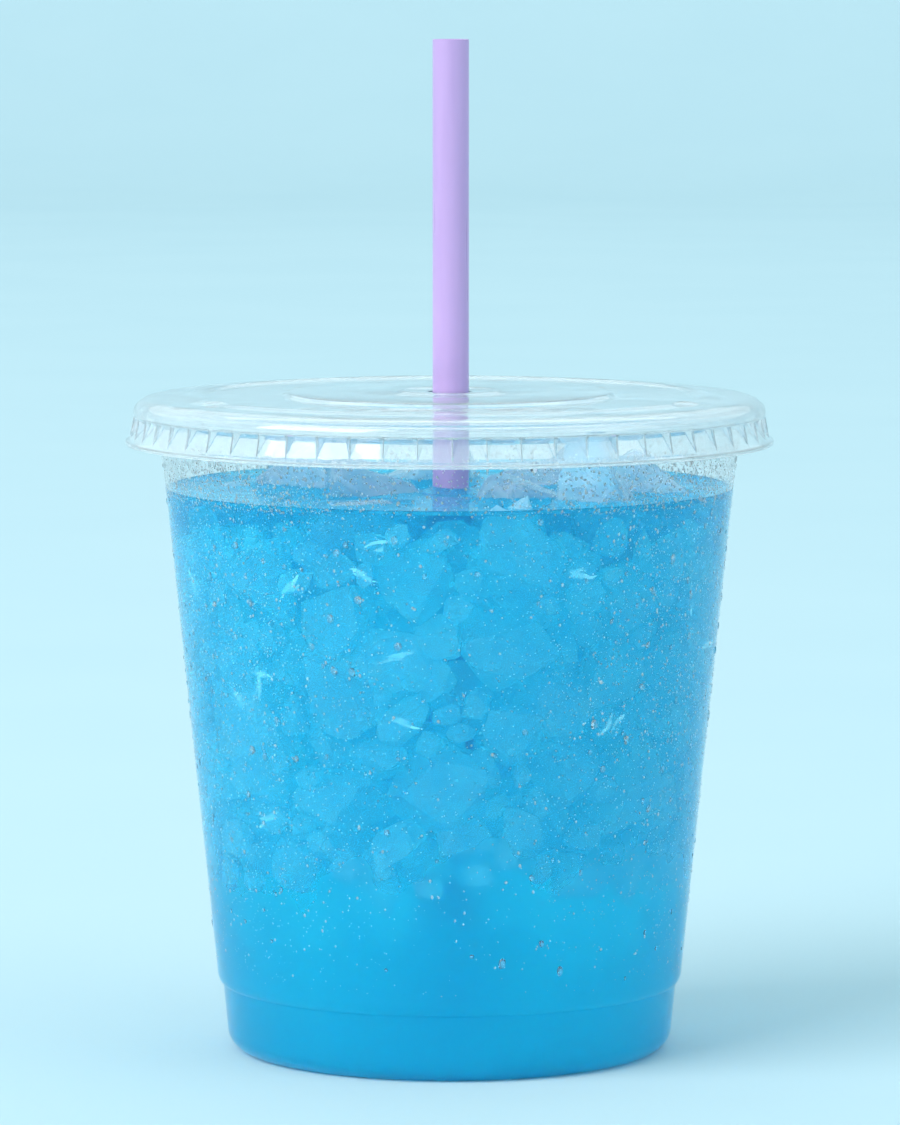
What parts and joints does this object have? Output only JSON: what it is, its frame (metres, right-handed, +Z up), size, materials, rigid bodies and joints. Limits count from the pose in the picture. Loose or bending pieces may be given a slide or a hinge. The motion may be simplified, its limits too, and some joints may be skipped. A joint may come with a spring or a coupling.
{
  "type": "blue raspberry lemonade",
  "caption": "Bright blue iced lemonade in a clear tapered plastic cup, with floating ice, a flat ribbed press-on lid and a lilac straw standing through the middle.",
  "frame": {"origin": "middle of the cup's foot, on the surface that the cup stands on", "axes": "+Z up along the cup's axis and the straw; -Y is the front; the cup is round, so X and Y differ only in the lid's ribs, the ridge's gaps and the ice"},
  "size_m": [0.102, 0.102, 0.1592],
  "materials": {
    "cup_plastic": "clear glossy thermoformed plastic with beads of condensation",
    "lid_plastic": "clear glossy thermoformed plastic",
    "straw_plastic": "smooth lilac plastic, satin gloss",
    "blue_drink": "clear bright blue liquid, paler near the top where ice lies in it",
    "ice": "clear wet ice with rounded edges, cracks and small bubbles"
  },
  "bodies": {
    "root": {"cup": "cup_plastic", "lid": "lid_plastic", "straw": "straw_plastic", "drink": "blue_drink", "ice_1": "ice", "ice_2": "ice", "ice_3": "ice", "ice_4": "ice", "ice_5": "ice", "ice_6": "ice", "ice_7": "ice", "ice_8": "ice", "ice_9": "ice", "ice_10": "ice"}
  },
  "joints": []
}
